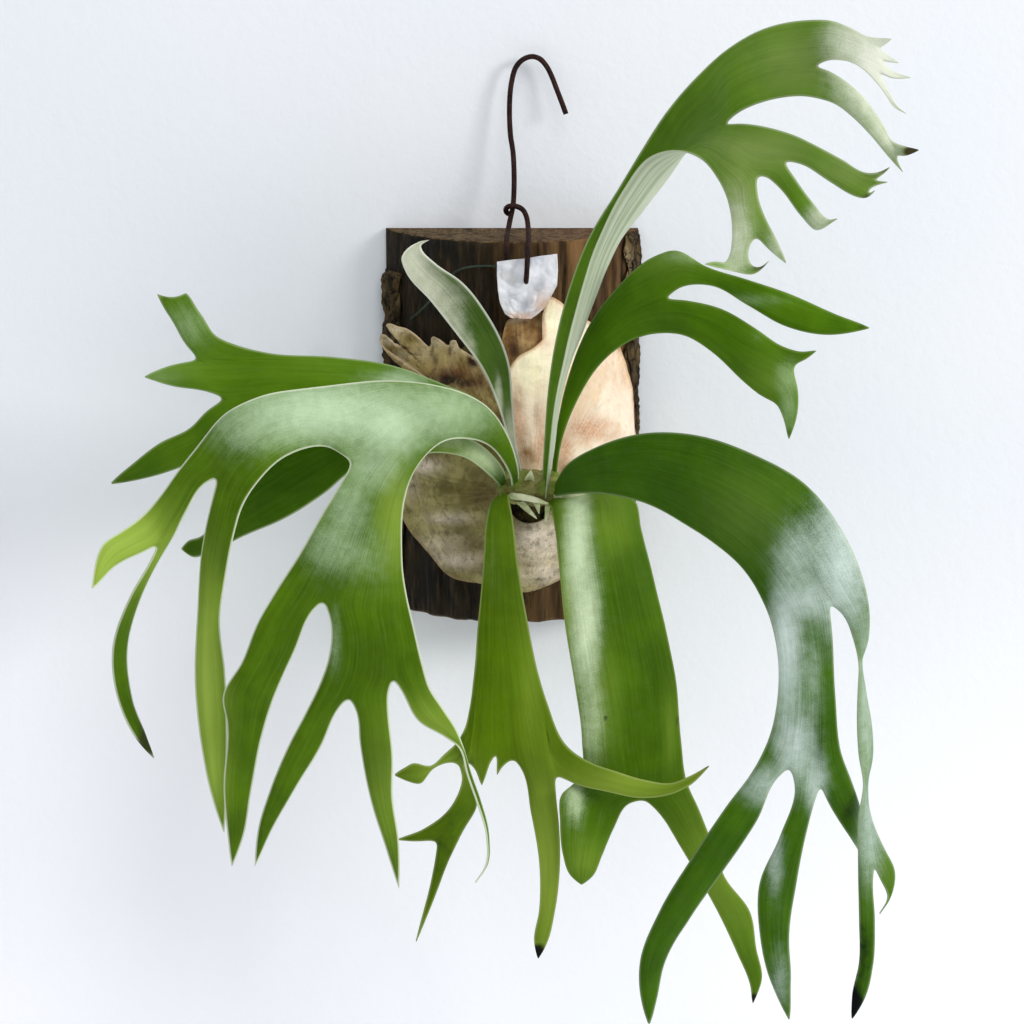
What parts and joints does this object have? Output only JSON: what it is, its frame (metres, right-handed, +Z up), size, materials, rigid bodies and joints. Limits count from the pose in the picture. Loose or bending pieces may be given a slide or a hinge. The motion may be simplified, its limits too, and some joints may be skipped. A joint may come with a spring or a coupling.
{
  "type": "mounted staghorn fern",
  "caption": "Staghorn fern on a half-round bark log slab, with forked arching fronds, dry shield fronds, a blank tag and a wire hook to hang it on a wall.",
  "frame": {"origin": "middle of the log slab's flat back face, which lies on the wall", "axes": "+Z up, -Y out of the wall towards the viewer, +X to the viewer's right"},
  "size_m": [0.4031, 0.2245, 0.5238],
  "materials": {
    "wood": "weathered grooved wood, matt, reddish brown in the light",
    "bark": "rough crumbly dark bark, matt",
    "moss": "dark fibrous roots and moss, matt",
    "dry_shield": "dry papery frond, ochre to brown, matt",
    "brown_shield": "old dry frond, mottled brown, matt",
    "olive_shield": "drying frond, olive to pinkish tan, satin",
    "pale_shield": "fresh papery frond, cream to pinkish tan, soft satin",
    "crown": "pale green growing point, satin",
    "frond": "thick green frond with a pale felt bloom, soft satin",
    "young_frond": "young frond with whitish felt, matt",
    "rusty_wire": "rusted steel wire, rough",
    "tag": "crumpled blank white sheet, satin",
    "tie_wire": "green coated tie wire, satin"
  },
  "bodies": {
    "root": {"log_slab": "wood", "bark_left": "bark", "bark_right": "bark", "moss_pad": "moss", "shield_frond_left_dry": "dry_shield", "shield_frond_upper": "brown_shield", "shield_frond_lower": "olive_shield", "shield_frond_right": "pale_shield", "crown": "crown", "frond_left_front": "frond", "frond_middle": "frond", "frond_broad": "frond", "frond_right": "frond", "frond_tall": "frond", "frond_right_upper": "frond", "frond_young": "young_frond", "frond_left_upper": "frond", "frond_left_lower": "frond", "hook_wire": "rusty_wire", "tag": "tag", "tie_wire": "tie_wire"}
  },
  "joints": []
}
